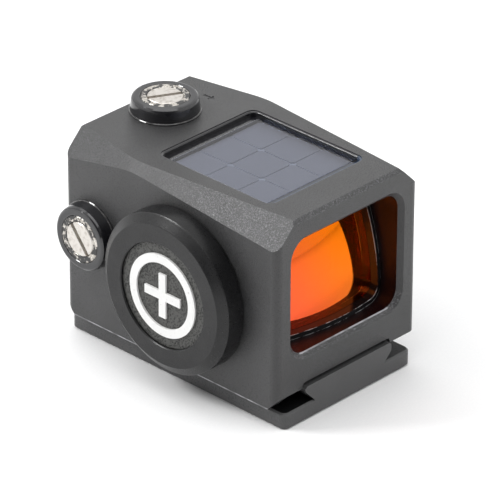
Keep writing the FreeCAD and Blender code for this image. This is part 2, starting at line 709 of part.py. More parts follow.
def rear_frame():
    """Eye-side bezel that closes the rear chamber."""
    ring = chamber_bar(RUNNING, REAR_FRAME_Y, REAR_FRAME_END)
    ring = ring.cut(eye_bar(0, REAR_FRAME_Y - OVERCUT, REAR_FRAME_END + OVERCUT))
    inner = eye_outline(0, REAR_FRAME_END - REAR_OPEN_BEVEL)
    outer = eye_outline(REAR_OPEN_BEVEL, REAR_FRAME_END)
    ring = ring.cut(Part.makeLoft([inner, outer], True, True))
    glass_end = REAR_FRAME_Y + REAR_GLASS_T + RUNNING
    return ring.cut(eye_bar(REAR_SEAT, REAR_FRAME_Y - OVERCUT, glass_end))


def rear_window():
    """Flat glass on the eye side."""
    start = REAR_FRAME_Y + RUNNING
    return eye_bar(REAR_SEAT - RUNNING, start, start + REAR_GLASS_T)


def rear_seal():
    """Flat ring in front of the rear frame."""
    start = REAR_FRAME_Y - REAR_SEAL_T
    ring = chamber_bar(RUNNING, start, REAR_FRAME_Y)
    return ring.cut(chamber_bar(REAR_SEAL_W, start - OVERCUT, REAR_FRAME_Y + OVERCUT))


def solar_module(grow, z0, z1):
    """Block the size of the square solar module, grown all round."""
    half_w = SOLAR_HALF_W - SOLAR_RIM - SOLAR_FIT + grow
    y0 = SOLAR_Y0 + SOLAR_LEDGE - grow
    y1 = SOLAR_Y1 - SOLAR_LEDGE + grow
    return slab(half_w, y0, y1, SOLAR_MODULE_CORNER + grow, z0, z1)


def solar_gasket():
    """Glossy sealant: a rounded lining on the recess walls, and a ledge at each end of the module."""
    top = TOP - SOLAR_RIM_DROP
    rim = SOLAR_RIM
    ledge = SOLAR_GLASS_TOP - SOLAR_LEDGE_DROP
    seal = slab(SOLAR_HALF_W, SOLAR_Y0, SOLAR_Y1, SOLAR_CORNER, SOLAR_FLOOR, top)
    half_w = SOLAR_HALF_W - rim
    well = slab(half_w, SOLAR_Y0 + rim, SOLAR_Y1 - rim, SOLAR_CORNER - rim, ledge, TOP + OVERCUT)
    seal = seal.cut(well)
    inner = edges_where(seal, lambda p: p.z > top - NEAR and on_well(p, rim))
    seal = seal.makeFillet(SOLAR_RIM_ROUND, inner)
    return seal.cut(solar_module(SOLAR_FIT, SOLAR_FLOOR - OVERCUT, TOP + OVERCUT))


def on_well(point, rim):
    """Whether a point lies inside the recess outline by at least the sealant's thickness."""
    in_x = abs(point.x) < SOLAR_HALF_W - rim + NEAR
    return in_x and SOLAR_Y0 + rim - NEAR < point.y < SOLAR_Y1 - rim + NEAR


def solar_cells():
    """Square cells with clipped corners on the solar board."""
    z0 = SOLAR_FLOOR + SOLAR_BOARD_T
    z1 = SOLAR_GLASS_TOP - SOLAR_GLASS_T - SOLAR_CELL_CLEAR
    half_w = SOLAR_HALF_W - SOLAR_RIM - SOLAR_FIT
    start_y = SOLAR_Y0 + SOLAR_LEDGE
    span_x = 2 * half_w / SOLAR_COUNT
    span_y = (SOLAR_Y1 - SOLAR_LEDGE - start_y) / SOLAR_COUNT
    gap = SOLAR_CELL_GAP / 2
    tiles = []
    for i in range(SOLAR_COUNT):
        for j in range(SOLAR_COUNT):
            x0 = -half_w + i * span_x
            y0 = start_y + j * span_y
            tile = box(x0 + gap, x0 + span_x - gap, y0 + gap, y0 + span_y - gap, z0, z1)
            upright = [e for e in tile.Edges if abs(e.Vertexes[0].Z - e.Vertexes[-1].Z) > NEAR]
            tiles.append(tile.makeChamfer(SOLAR_CELL_CORNER, upright))
    return Part.makeCompound(tiles)


def turret():
    """Guard ring with a base collar, spigot and o-ring groove, standing on Z = 0."""
    top = TURRET_H
    ring_seat = top - RING_DEPTH
    disc_seat = top - DISC_SUNK - DISC_T
    spigot = SPIGOT_R - SPIGOT_FIT
    crown = [(TURRET_TOP_R - inset, top - drop) for inset, drop in TURRET_CROWN]
    return revolved([
        (PLUNGER_HOLE_R, -SPIGOT_DEPTH),
        (spigot, -SPIGOT_DEPTH),
        (spigot, SEAL_GROOVE_LOW),
        (SEAL_GROOVE_R, SEAL_GROOVE_LOW),
        (SEAL_GROOVE_R, SEAL_GROOVE_HIGH),
        (spigot, SEAL_GROOVE_HIGH),
        (spigot, 0),
        (COLLAR_R, 0),
        (COLLAR_R, COLLAR_H - COLLAR_BEVEL),
        (COLLAR_R - COLLAR_BEVEL, COLLAR_H),
        (TURRET_BASE_R, COLLAR_H),
        *crown,
        (RING_R + RING_BEVEL, top - RING_LIP_DROP),
        (RING_R, top - RING_LIP_DROP - RING_BEVEL),
        (RING_R, ring_seat),
        (DISC_R + RUNNING, ring_seat),
        (DISC_R + RUNNING, disc_seat),
        (SHANK_R + RUNNING, disc_seat),
        (SHANK_R + RUNNING, SHANK_BORE_END),
        (PLUNGER_HOLE_R, SHANK_BORE_END),
    ])


def index_ring():
    """Thin plain ring let into the top of a turret."""
    top = TURRET_H - RING_SUNK
    seat = TURRET_H - RING_DEPTH
    inner = DISC_R + RUNNING
    outer = RING_R - RING_FIT
    return revolved([
        (inner, seat),
        (outer, seat),
        (outer, top - RING_EDGE),
        (outer - RING_EDGE, top),
        (inner + RING_EDGE, top),
        (inner, top - RING_EDGE),
    ])


def adjuster_seal():
    """O-ring in a turret's spigot groove."""
    return Part.makeTorus(SEAL_MIDDLE_R, SEAL_WIRE_R, V(0, 0, (SEAL_GROOVE_LOW + SEAL_GROOVE_HIGH) / 2))


def adjuster_screw(tip, slot_angle):
    """Slotted disc on a shank that reaches down to the tip height."""
    top = TURRET_H - DISC_SUNK
    low = top - DISC_T
    screw = revolved([
        (0, tip),
        (SHANK_R - SHANK_EDGE, tip),
        (SHANK_R, tip + SHANK_EDGE),
        (SHANK_R, low),
        (DISC_R, low),
        (DISC_R, top - DISC_EDGE),
        (DISC_R - DISC_EDGE, top),
        (0, top),
    ])
    reach = DISC_R + OVERCUT
    slot = box(-reach, reach, -SLOT_W / 2, SLOT_W / 2, top - SLOT_DEPTH, top + OVERCUT)
    slot.rotate(V(0, 0, 0), V(0, 0, 1), slot_angle)
    return screw.cut(slot)


def on_roof(shape):
    """Moves a turret piece to the elevation turret."""
    shape.translate(V(ELEVATION_X, TURRET_Y, TOP))
    return shape


def on_side(shape):
    """Moves a turret piece to the windage turret."""
    return on_battery_side(shape, TURRET_Y, WINDAGE_Z, HALF_WIDTH)


def elevation_frame():
    """Outer adjustment frame: slides up and down in the rear chamber."""
    start, end = FRAME_Y0 - OVERCUT, FRAME_Y1 + OVERCUT
    ring = tunnel(E_OUTER_HALF, E_OUTER_LOW, E_OUTER_HIGH, E_CORNER, FRAME_Y0, FRAME_Y1)
    ring = ring.cut(tunnel(E_INNER_HALF, E_INNER_LOW, E_INNER_HIGH, E_INNER_CORNER, start, end))
    inner, outer = E_INNER_HALF - OVERCUT, E_OUTER_HALF + OVERCUT
    low, high = E_INNER_HIGH - OVERCUT, E_OUTER_HIGH + OVERCUT
    ring = ring.cut(disc_z(ELEVATION_X, TURRET_Y, low, high, SHANK_R + RUNNING))
    ring = ring.cut(disc_x(-outer, -inner, TURRET_Y, WINDAGE_Z, NOSE_HOLE_R))
    return ring.cut(disc_x(inner, outer, TURRET_Y, WINDAGE_Z, SPRING_HOLE_R))


def windage_frame():
    """Inner adjustment frame: slides sideways inside the elevation frame."""
    low = E_INNER_LOW + RUNNING
    high = E_INNER_HIGH - RUNNING
    start, end = FRAME_Y0 + W_SETBACK, FRAME_Y1 - W_SETBACK
    ring = tunnel(W_OUTER_HALF, low, high, W_CORNER, start, end)
    hole = tunnel(W_INNER_HALF, low + W_BAR, high - W_BAR, W_INNER_CORNER, start - OVERCUT, end + OVERCUT)
    return ring.cut(hole)


def windage_plunger():
    """Sliding nut in the side wall: the screw turns in it, and its nose pushes the frame."""
    body = disc_x(-PLUNGER_OUTER, -PLUNGER_SHOULDER, TURRET_Y, WINDAGE_Z, PLUNGER_R)
    nose = disc_x(-PLUNGER_SHOULDER, -W_OUTER_HALF - CONTACT_FIT, TURRET_Y, WINDAGE_Z, PLUNGER_NOSE_R)
    bore_r = SHANK_R + RUNNING
    bore = disc_x(-PLUNGER_OUTER - OVERCUT, -PLUNGER_BORE_END, TURRET_Y, WINDAGE_Z, bore_r)
    return body.fuse(nose).removeSplitter().cut(bore)


def coil(length):
    """Round-wire compression spring standing on Z = 0, its wire's centre a radius inside each end."""
    rise = length - 2 * SPRING_WIRE_R
    helix = Part.makeLongHelix(rise / SPRING_TURNS, rise, SPRING_R)
    wire = Part.Wire(helix.Edges)
    section = Part.Wire(Part.makeCircle(SPRING_WIRE_R, V(SPRING_R, 0, 0), V(0, 1, 0)))
    pipe = wire.makePipeShell([section], True, True)
    pipe.translate(V(0, 0, SPRING_WIRE_R))
    return pipe


def elevation_spring():
    """Pushes the elevation frame up; drawn at its shortest."""
    spring = coil(CHAMBER_LOW - SPRING_SEAT_Z)
    spring.translate(V(0, TURRET_Y, SPRING_SEAT_Z))
    return spring


def windage_spring():
    """Pushes the windage frame towards its screw; drawn at its shortest."""
    spring = coil(SPRING_SEAT_X - W_OUTER_HALF - ADJUST - SPRING_SLACK)
    spring.rotate(V(0, 0, 0), V(0, 1, 0), -90)
    spring.translate(V(SPRING_SEAT_X, TURRET_Y, WINDAGE_Z))
    return spring


def emitter_board():
    """Small upright board on the windage frame's lower bar."""
    half = EMITTER_BOARD_HALF_W
    start = FRAME_Y0 + EMITTER_SETBACK
    top = EMITTER_LOW + EMITTER_BOARD_H
    return box(EMITTER_X - half, EMITTER_X + half, start, start + EMITTER_BOARD_T, EMITTER_LOW, top)


def emitter():
    """LED package facing the objective."""
    middle = EMITTER_LOW + EMITTER_BOARD_H / 2
    half = EMITTER_HALF_W
    front = FRAME_Y0 - EMITTER_PROUD
    back = FRAME_Y0 + EMITTER_SETBACK
    package = box(EMITTER_X - half, EMITTER_X + half, front, back, middle - half, middle + half)
    return package.fuse(Part.makeSphere(EMITTER_DOME_R, V(EMITTER_X, front, middle)))


def cover_screw_places():
    """Four screws in the ledge beside the electronics bay."""
    x = BAY_INNER_HALF_W - COVER_SCREW_INSET_X
    ends = (BAY_Y0 + COVER_SCREW_INSET_Y, BAY_Y1 - COVER_SCREW_INSET_Y)
    return [(sx * x, y) for sx in (-1, 1) for y in ends]


def bottom_cover():
    """Thin lid over the electronics bay, flush with the housing's underside."""
    low = CHANNEL_TOP
    corner = BAY_CORNER - RUNNING
    lid = slab(BAY_HALF_W - RUNNING, BAY_Y0 + RUNNING, BAY_Y1 - RUNNING, corner, low, COVER_TOP)
    for x, y in cover_screw_places():
        lid = lid.cut(disc_z(x, y, low - OVERCUT, COVER_TOP + OVERCUT, COVER_SCREW_R + RUNNING))
        lid = lid.cut(disc_z(x, y, low - OVERCUT, low + COVER_HEAD_T, COVER_SCREW_HEAD_R + RUNNING))
    return lid


def cover_screws():
    """Four flat-headed screws."""
    screws = []
    for x, y in cover_screw_places():
        head = disc_z(x, y, CHANNEL_TOP + COVER_HEAD_SUNK, CHANNEL_TOP + COVER_HEAD_T, COVER_SCREW_HEAD_R)
        shank = disc_z(x, y, CHANNEL_TOP + COVER_HEAD_T, COVER_SCREW_TIP - 2 * RUNNING, COVER_SCREW_R)
        screws.append(head.fuse(shank).removeSplitter())
    return Part.makeCompound(screws)


def circuit_board():
    """Driver board in the electronics bay."""
    half_w = BAY_INNER_HALF_W - BOARD_FIT
    y0, y1 = BAY_INNER_Y0 + BOARD_FIT, BAY_INNER_Y1 - BOARD_FIT
    return slab(half_w, y0, y1, BAY_CORNER - BOARD_FIT, BOARD_LOW, BOARD_HIGH)


def board_components():
    """Controller, inductor and two capacitors on the driver board."""
    blocks = []
    for x, y, half_x, half_y, height in COMPONENTS:
        blocks.append(box(x - half_x, x + half_x, y - half_y, y + half_y, BOARD_HIGH, BOARD_HIGH + height))
    return Part.makeCompound(blocks)


def battery_cell():
    """Coin cell: the can, and the smaller raised negative face towards the bay floor."""
    step_end = CELL_START + CELL_STEP
    outer = CELL_START + CELL_T
    can = disc_x(-outer, -step_end, CAP_Y, CAP_Z, CELL_R)
    rim = edges_where(can, lambda p: p.x < NEAR - outer)
    can = can.makeFillet(CELL_EDGE, rim)
    return can.fuse(disc_x(-step_end, -CELL_START, CAP_Y, CAP_Z, CELL_R - CELL_STEP_IN))


def negative_contact():
    """Sprung plate on the bay floor: a disc with three raised fingers."""
    face = -BAY_FLOOR - NEGATIVE_T
    half = FINGER_HALF
    reach = CAP_Z + FINGER_REACH
    plate = disc_x(face, -BAY_FLOOR, CAP_Y, CAP_Z, NEGATIVE_R)
    for step in range(FINGER_COUNT):
        finger = box(face, -BAY_FLOOR, CAP_Y - half, CAP_Y + half, CAP_Z, reach)
        pad = box(FINGER_FIT - CELL_START, -BAY_FLOOR, CAP_Y - half, CAP_Y + half, reach - FINGER_PAD, reach)
        finger = finger.fuse(pad)
        finger.rotate(V(0, CAP_Y, CAP_Z), V(1, 0, 0), 360 / FINGER_COUNT * step)
        plate = plate.fuse(finger)
    return plate.removeSplitter()


def battery_seal():
    """O-ring in the boss groove."""
    middle = (GROOVE_START + GROOVE_END) / 2
    return Part.makeTorus(BATTERY_SEAL_R, BATTERY_SEAL_WIRE_R, V(-middle, CAP_Y, CAP_Z), V(1, 0, 0))


def battery_cap():
    """Large round cap: thin rim over the boss, bevelled edge, shallow recess in its face."""
    outline = [
        (0, CAP_CEILING),
        (BOSS_R + RUNNING, CAP_CEILING),
        (BOSS_R + RUNNING, CAP_RIM),
        (CAP_R - CAP_RIM_BEVEL, CAP_RIM),
        (CAP_R, CAP_RIM + CAP_RIM_BEVEL),
        (CAP_R, CAP_SHOULDER - CAP_EDGE),
        (CAP_R - CAP_EDGE, CAP_SHOULDER),
        (CAP_FACE_R + 2 * CAP_FACE_EDGE, CAP_FACE - CAP_FACE_EDGE),
        (CAP_FACE_R, CAP_FACE),
        (RECESS_R + RECESS_BEVEL, CAP_FACE),
        (RECESS_R, CAP_FACE - RECESS_BEVEL),
        (RECESS_R, CAP_FACE - RECESS_DEPTH),
        (0, CAP_FACE - RECESS_DEPTH),
    ]
    return on_battery_side(revolved(outline), CAP_Y, CAP_Z)


def cap_seal():
    """Flat washer under the cap's ceiling; it rides out with the cap without turning."""
    low, high = BOSS_END + CAP_SEAL_FIT, CAP_CEILING - CAP_SEAL_FIT
    outline = [
        (CAP_SEAL_INNER_R, low),
        (BOSS_R - RUNNING, low),
        (BOSS_R - RUNNING, high),
        (CAP_SEAL_INNER_R, high),
    ]
    return on_battery_side(revolved(outline), CAP_Y, CAP_Z)


def cap_contact():
    """Dished positive contact fixed in the cap."""
    foot = CELL_START + CELL_T + FINGER_FIT
    flange = CAP_CEILING - CAP_CONTACT_T
    outline = [
        (DISH_HOLE_R, foot),
        (DISH_FOOT_R, foot),
        (DISH_SLOPE_R, flange),
        (DISH_FLANGE_R, flange),
        (DISH_FLANGE_R, CAP_CEILING),
        (DISH_SLOPE_R - DISH_LEAN, CAP_CEILING),
        (DISH_FOOT_R - DISH_LEAN, foot + CAP_CONTACT_T),
        (DISH_HOLE_R, foot + CAP_CONTACT_T),
    ]
    return on_battery_side(revolved(outline), CAP_Y, CAP_Z)


def cap_emblem():
    """Raised inlay in the cap's recess: a plain ring round a plus sign."""
    low = CAP_FACE - RECESS_DEPTH
    ring = revolved([
        (EMBLEM_R - EMBLEM_LINE, low),
        (EMBLEM_R, low),
        (EMBLEM_R, low + EMBLEM_H),
        (EMBLEM_R - EMBLEM_LINE, low + EMBLEM_H),
    ])
    half = EMBLEM_LINE / 2
    bar = box(-EMBLEM_PLUS, EMBLEM_PLUS, -half, half, low, low + EMBLEM_H)
    post = box(-half, half, -EMBLEM_PLUS, EMBLEM_PLUS, low, low + EMBLEM_H)
    plus = bar.fuse(post).removeSplitter()
    ring = on_battery_side(ring, CAP_Y, CAP_Z)
    plus = on_battery_side(plus, CAP_Y, CAP_Z)
    return Part.makeCompound([ring, plus])


def button(y, crossed):
    """Brightness button with an engraved minus, or a plus where crossed."""
    face = HALF_WIDTH + BUTTON_PROUD
    knob = disc_x(BUTTON_INNER, face, y, BUTTON_Z, BUTTON_R)
    rim = edges_where(knob, lambda p: p.x > face - NEAR)
    knob = knob.makeFillet(BUTTON_EDGE, rim)
    low, high = face - MARK_DEPTH, face + OVERCUT
    long, short = MARK_HALF, MARK_HALF_LINE
    knob = knob.cut(box(low, high, y - long, y + long, BUTTON_Z - short, BUTTON_Z + short))
    if crossed:
        knob = knob.cut(box(low, high, y - short, y + short, BUTTON_Z - long, BUTTON_Z + long))
    return knob


def switches():
    """A tact switch under each button."""
    bodies = []
    for y in BUTTON_YS:
        body = switch_block(y, SWITCH_INNER + RUNNING, SWITCH_OUTER, SWITCH_HALF)
        bodies.append(body.fuse(disc_x(SWITCH_OUTER, SWITCH_TIP, y, BUTTON_Z, SWITCH_TIP_R)))
    return Part.makeCompound(bodies)


def main():
    os.makedirs(OUT, exist_ok=True)
    save("base_plate", base_plate())
    save("clamp_bar", clamp_bar())
    save("clamp_screw", clamp_screw())
    save("housing", housing())
    save("objective_front_element", lens_element(LENS_FACES[0], LENS_FACES[1]))
    save("objective_rear_element", lens_element(LENS_FACES[1], LENS_FACES[2]))
    save("objective_cell", objective_cell())
    save("objective_seal", objective_seal())
    save("rear_frame", rear_frame())
    save("rear_window", rear_window())
    save("rear_seal", rear_seal())
    save("solar_gasket", solar_gasket())
    save("solar_board", solar_module(0, SOLAR_FLOOR, SOLAR_FLOOR + SOLAR_BOARD_T))
    save("solar_cells", solar_cells())
    save("solar_glass", solar_module(0, SOLAR_GLASS_TOP - SOLAR_GLASS_T, SOLAR_GLASS_TOP))
    save("elevation_turret", on_roof(turret()))
    save("elevation_screw", on_roof(adjuster_screw(ELEVATION_TIP, ELEVATION_SLOT_ANGLE)))
    save("windage_turret", on_side(turret()))
    save("windage_screw", on_side(adjuster_screw(WINDAGE_TIP, WINDAGE_SLOT_ANGLE)))
    save("index_rings", Part.makeCompound([on_roof(index_ring()), on_side(index_ring())]))
    save("adjuster_seals", Part.makeCompound([on_roof(adjuster_seal()), on_side(adjuster_seal())]))
    save("elevation_frame", elevation_frame())
    save("windage_frame", windage_frame())
    save("windage_plunger", windage_plunger())
    save("elevation_spring", elevation_spring())
    save("windage_spring", windage_spring())
    save("emitter_board", emitter_board())
    save("emitter", emitter())
    save("bottom_cover", bottom_cover())
    save("cover_screws", cover_screws())
    save("circuit_board", circuit_board())
    save("board_components", board_components())
    save("battery_cell", battery_cell())
    save("negative_contact", negative_contact())
    save("battery_seal", battery_seal())
    save("battery_cap", battery_cap())
    save("cap_seal", cap_seal())
    save("cap_contact", cap_contact())
    save("cap_emblem", cap_emblem())
    save("button_up", button(BUTTON_YS[0], True))
    save("button_down", button(BUTTON_YS[1], False))
    save("switches", switches())


main()
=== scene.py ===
import json
import math

import bpy
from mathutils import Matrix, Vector


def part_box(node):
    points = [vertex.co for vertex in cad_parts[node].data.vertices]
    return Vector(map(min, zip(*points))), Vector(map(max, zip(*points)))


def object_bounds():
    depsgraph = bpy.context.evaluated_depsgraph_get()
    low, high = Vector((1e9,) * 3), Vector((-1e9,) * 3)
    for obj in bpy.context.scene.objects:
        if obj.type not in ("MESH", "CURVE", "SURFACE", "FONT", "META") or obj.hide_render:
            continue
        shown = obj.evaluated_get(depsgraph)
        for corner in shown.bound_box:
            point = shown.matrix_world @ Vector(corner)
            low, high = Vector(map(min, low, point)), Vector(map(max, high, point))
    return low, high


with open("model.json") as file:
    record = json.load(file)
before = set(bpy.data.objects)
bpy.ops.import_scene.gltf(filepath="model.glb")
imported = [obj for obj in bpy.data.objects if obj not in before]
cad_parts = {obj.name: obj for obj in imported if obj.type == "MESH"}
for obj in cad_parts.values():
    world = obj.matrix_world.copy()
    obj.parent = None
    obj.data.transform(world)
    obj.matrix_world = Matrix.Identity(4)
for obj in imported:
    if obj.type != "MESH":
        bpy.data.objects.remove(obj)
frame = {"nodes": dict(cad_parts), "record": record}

MM = 0.001
CAD_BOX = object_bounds()


# Camera and light

VIEW_AZIMUTH = -46.2             # degrees, 0 looks along +Y
VIEW_ELEVATION = 28.83
VIEW_DISTANCE = 0.747
VIEW_ROLL = 0.2
FOCAL_LENGTH = 336.0
SENSOR_WIDTH = 36.0
CLIP_NEAR, CLIP_FAR = 0.01, 20.0
AIM_SHIFT = Vector((1.83, -2.25, -1.06)) * MM      # from the middle of the CAD box to the point looked at

WORLD_LIGHT = 1.08
WORLD_DARK = 0.12                # behind the camera
DARK_FROM, DARK_TO = 0.55, 0.92  # cosine of the angle from the camera's side where the room darkens

SOFTBOXES = (                    # name, azimuth, elevation, distance, width, height, watts
    ("facet_softbox", 226.0, 43.0, 0.9, 0.22, 0.22, 3.4),
    ("top_softbox", 150.0, 60.0, 1.0, 0.5, 0.5, 0.7),
    ("fill_softbox", -46.0, 72.0, 1.0, 0.9, 0.9, 4.3),
)

FLOOR_HALF = 6.0
FLOOR_GAP = 0.00002
FLOOR_DARK, FLOOR_LIGHT = (0.90, 0.90, 0.905), (0.92, 0.92, 0.92)
FLOOR_GRAIN = 0.4
FLOOR_ROUGHNESS = 0.85


def direction(azimuth, elevation):
    """Unit vector from the object towards a place given as two angles."""
    a, e = math.radians(azimuth), math.radians(elevation)
    return Vector((math.sin(a) * math.cos(e), -math.cos(a) * math.cos(e), math.sin(e)))


def aim(thing, target, roll=0.0):
    """Turns a camera or lamp to look at a point."""
    turn = (target - thing.location).to_track_quat("-Z", "Y").to_matrix().to_4x4()
    place = thing.location.copy()
    thing.matrix_world = turn
    thing.rotation_euler.rotate_axis("Z", math.radians(roll))
    thing.location = place


def add_camera():
    data = bpy.data.cameras.new("camera")
    data.lens = FOCAL_LENGTH
    data.sensor_width = SENSOR_WIDTH
    data.clip_start = CLIP_NEAR
    data.clip_end = CLIP_FAR
    camera = bpy.data.objects.new("camera", data)
    bpy.context.scene.collection.objects.link(camera)
    target = (CAD_BOX[0] + CAD_BOX[1]) / 2 + AIM_SHIFT
    camera.location = target + direction(VIEW_AZIMUTH, VIEW_ELEVATION) * VIEW_DISTANCE
    aim(camera, target, VIEW_ROLL)
    bpy.context.scene.camera = camera


def add_softbox(name, azimuth, elevation, distance, width, height, power):
    data = bpy.data.lights.new(name, "AREA")
    data.shape = "RECTANGLE"
    data.size = width
    data.size_y = height
    data.energy = power
    lamp = bpy.data.objects.new(name, data)
    bpy.context.scene.collection.objects.link(lamp)
    lamp.location = direction(azimuth, elevation) * distance
    aim(lamp, (CAD_BOX[0] + CAD_BOX[1]) / 2)


def add_world():
    """A white room that darkens behind the camera."""
    world = bpy.data.worlds.new("studio")
    world.use_nodes = True
    tree = world.node_tree
    outward = tree.nodes.new("ShaderNodeTexCoord")
    towards = tree.nodes.new("ShaderNodeVectorMath")
    towards.operation = "DOT_PRODUCT"
    towards.inputs[1].default_value = direction(VIEW_AZIMUTH, VIEW_ELEVATION)
    tree.links.new(outward.outputs["Generated"], towards.inputs[0])
    shade = tree.nodes.new("ShaderNodeMapRange")
    shade.interpolation_type = "SMOOTHSTEP"
    ramp = {"From Min": DARK_FROM, "From Max": DARK_TO, "To Min": WORLD_LIGHT, "To Max": WORLD_DARK}
    for name, value in ramp.items():
        shade.inputs[name].default_value = value
    tree.links.new(towards.outputs["Value"], shade.inputs["Value"])
    sky = tree.nodes["Background"]
    sky.inputs["Color"].default_value = (1.0, 1.0, 1.0, 1.0)
    tree.links.new(shade.outputs["Result"], sky.inputs["Strength"])
    bpy.context.scene.world = world


def add_light():
    """The white room, a small softbox that rakes the shoulder facet, and two soft top lights."""
    add_world()
    for softbox in SOFTBOXES:
        add_softbox(*softbox)


def add_floor():
    data = bpy.data.meshes.new("floor")
    low = CAD_BOX[0].z - FLOOR_GAP
    corners = [(x * FLOOR_HALF, y * FLOOR_HALF, low) for x, y in ((-1, -1), (1, -1), (1, 1), (-1, 1))]
    data.from_pydata(corners, [], [(0, 1, 2, 3)])
    floor = bpy.data.objects.new("floor", data)
    bpy.context.scene.collection.objects.link(floor)
    shade = Shader("pale_floor")
    colour = shade.speckle(FLOOR_DARK, FLOOR_LIGHT, FLOOR_GRAIN)
    shade.principled({"Base Color": colour, "Roughness": FLOOR_ROUGHNESS})
    data.materials.append(shade.material)


# Shader building

MILD = (0.3, 0.7)                # span of a noise that gives soft blotches
PATCHY = (0.35, 0.65)            # and harder patches
EDGE_AGREE, EDGE_LEAN = 0.995, 0.9    # cosine of a rounded normal's lean, from flat to a full edge
EDGE_SAMPLES = 6


class Shader:
    """A node material, built with one short call per node. Lengths inside it are in millimetres."""

    def __init__(self, name):
        self.material = bpy.data.materials.new(name)
        self.material.use_nodes = True
        self.tree = self.material.node_tree
        self.tree.nodes.clear()
        self.output = self.tree.nodes.new("ShaderNodeOutputMaterial")
        coordinates = self.tree.nodes.new("ShaderNodeTexCoord")
        self.place = self.vector("SCALE", coordinates.outputs["Object"], scale=1 / MM)
        self.parts = {}

    def node(self, kind, inputs, **settings):
        made = self.tree.nodes.new("ShaderNode" + kind)
        for key, value in settings.items():
            setattr(made, key, value)
        for socket, value in inputs.items():
            target = made.inputs[socket]
            if isinstance(value, bpy.types.NodeSocket):
                self.tree.links.new(value, target)
            elif hasattr(value, "__len__") and target.type == "RGBA":
                target.default_value = (*value[:3], 1.0)
            else:
                target.default_value = value
        return made

    def vector(self, operation, first, second=None, scale=None):
        inputs = {0: first}
        if second is not None:
            inputs[1] = second
        if scale is not None:
            inputs["Scale"] = scale
        made = self.node("VectorMath", inputs, operation=operation)
        return made.outputs["Value" if operation in ("LENGTH", "DOT_PRODUCT", "DISTANCE") else "Vector"]

    def math(self, operation, first, second=0.0, clamp=False):
        made = self.node("Math", {0: first, 1: second}, operation=operation, use_clamp=clamp)
        return made.outputs[0]

    def axis(self, name):
        """One coordinate of the place on the surface."""
        if "xyz" not in self.parts:
            self.parts["xyz"] = self.node("SeparateXYZ", {0: self.place})
        return self.parts["xyz"].outputs[name]

    def noise(self, size, detail=2.0, rough=0.5, stretch=None):
        """Noise from 0 to 1 whose blobs are about this size."""
        where = self.place if stretch is None else self.vector("MULTIPLY", self.place, stretch)
        inputs = {"Vector": where, "Scale": 1.0 / size, "Detail": detail, "Roughness": rough}
        return self.node("TexNoise", inputs).outputs["Fac"]

    def cells(self, size):
        """Distance to the nearest of many scattered points, for pits and grains."""
        return self.node("TexVoronoi", {"Vector": self.place, "Scale": 1.0 / size}).outputs["Distance"]

    def height_of_normal(self):
        """Height of the true normal: 1 facing up, 0 on walls."""
        normal = self.node("NewGeometry", {}).outputs["True Normal"]
        return self.node("SeparateXYZ", {0: normal}).outputs["Z"]

    def spread(self, value, low, high, to_low=0.0, to_high=1.0, smooth=True):
        """Maps low..high to another range and holds the ends."""
        inputs = {"Value": value, "From Min": low, "From Max": high, "To Min": to_low, "To Max": to_high}
        kind = "SMOOTHSTEP" if smooth else "LINEAR"
        return self.node("MapRange", inputs, interpolation_type=kind).outputs["Result"]

    def mix(self, share, first, second):
        """Colour between two others."""
        made = self.node("Mix", {}, data_type="RGBA")
        for index, value in ((0, share), (6, first), (7, second)):
            target = made.inputs[index]
            if isinstance(value, bpy.types.NodeSocket):
                self.tree.links.new(value, target)
            else:
                target.default_value = value if index == 0 else (*value[:3], 1.0)
        return made.outputs[2]

    def blend(self, share, first, second):
        """Number between two others."""
        made = self.node("Mix", {0: share, 2: first, 3: second}, data_type="FLOAT")
        return made.outputs[0]

    def speckle(self, dark, light, size):
        """Colour that drifts between two others in patches of about this size."""
        return self.mix(self.spread(self.noise(size, 3.0), *PATCHY), dark, light)

    def edge(self, radius):
        """1 along convex edges and 0 on flats, from how far a rounded normal leans from the true one."""
        round_normal = self.node("Bevel", {"Radius": radius * MM}, samples=EDGE_SAMPLES).outputs[0]
        true_normal = self.node("NewGeometry", {}).outputs["True Normal"]
        agree = self.vector("DOT_PRODUCT", round_normal, true_normal)
        return self.spread(agree, EDGE_AGREE, EDGE_LEAN)

    def bump(self, height, depth, normal=None, strength=1.0):
        """Normal of a surface raised by height times depth."""
        inputs = {"Height": height, "Distance": depth * MM, "Strength": strength}
        if normal is not None:
            inputs["Normal"] = normal
        return self.node("Bump", inputs).outputs[0]

    def radius(self, axis, centre):
        """Distance from a line along one axis through centre."""
        flat = {"X": (0.0, 1.0, 1.0), "Y": (1.0, 0.0, 1.0), "Z": (1.0, 1.0, 0.0)}[axis]
        away = self.vector("SUBTRACT", self.place, centre)
        return self.vector("LENGTH", self.vector("MULTIPLY", away, flat))

    def turned(self, axis, centre, pitch):
        """Fine concentric marks of a lathe tool, 0 to 1."""
        line = self.node("CombineXYZ", {0: self.math("DIVIDE", self.radius(axis, centre), pitch)})
        inputs = {"Vector": line.outputs[0], "Scale": 1.0, "Detail": 3.0, "Roughness": 0.6}
        return self.node("TexNoise", inputs).outputs["Fac"]

    def inside(self, low, high, soft=0.05):
        """1 inside a box given by two corners, fading over soft."""
        share = None
        for index, name in enumerate("XYZ"):
            over = self.spread(self.axis(name), low[index] - soft, low[index])
            under = self.spread(self.axis(name), high[index] + soft, high[index])
            both = self.math("MULTIPLY", over, under)
            share = both if share is None else self.math("MULTIPLY", share, both)
        return share

    def principled(self, inputs):
        made = self.node("BsdfPrincipled", inputs)
        self.tree.links.new(made.outputs[0], self.output.inputs[0])
        return made


def box_mm(node, grow=0.0):
    """A CAD node's corners in millimetres, grown all round."""
    low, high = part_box(node)
    more = Vector((grow, grow, grow))
    return low / MM - more, high / MM + more


def middle_mm(node):
    low, high = box_mm(node)
    return (low + high) / 2


# Materials

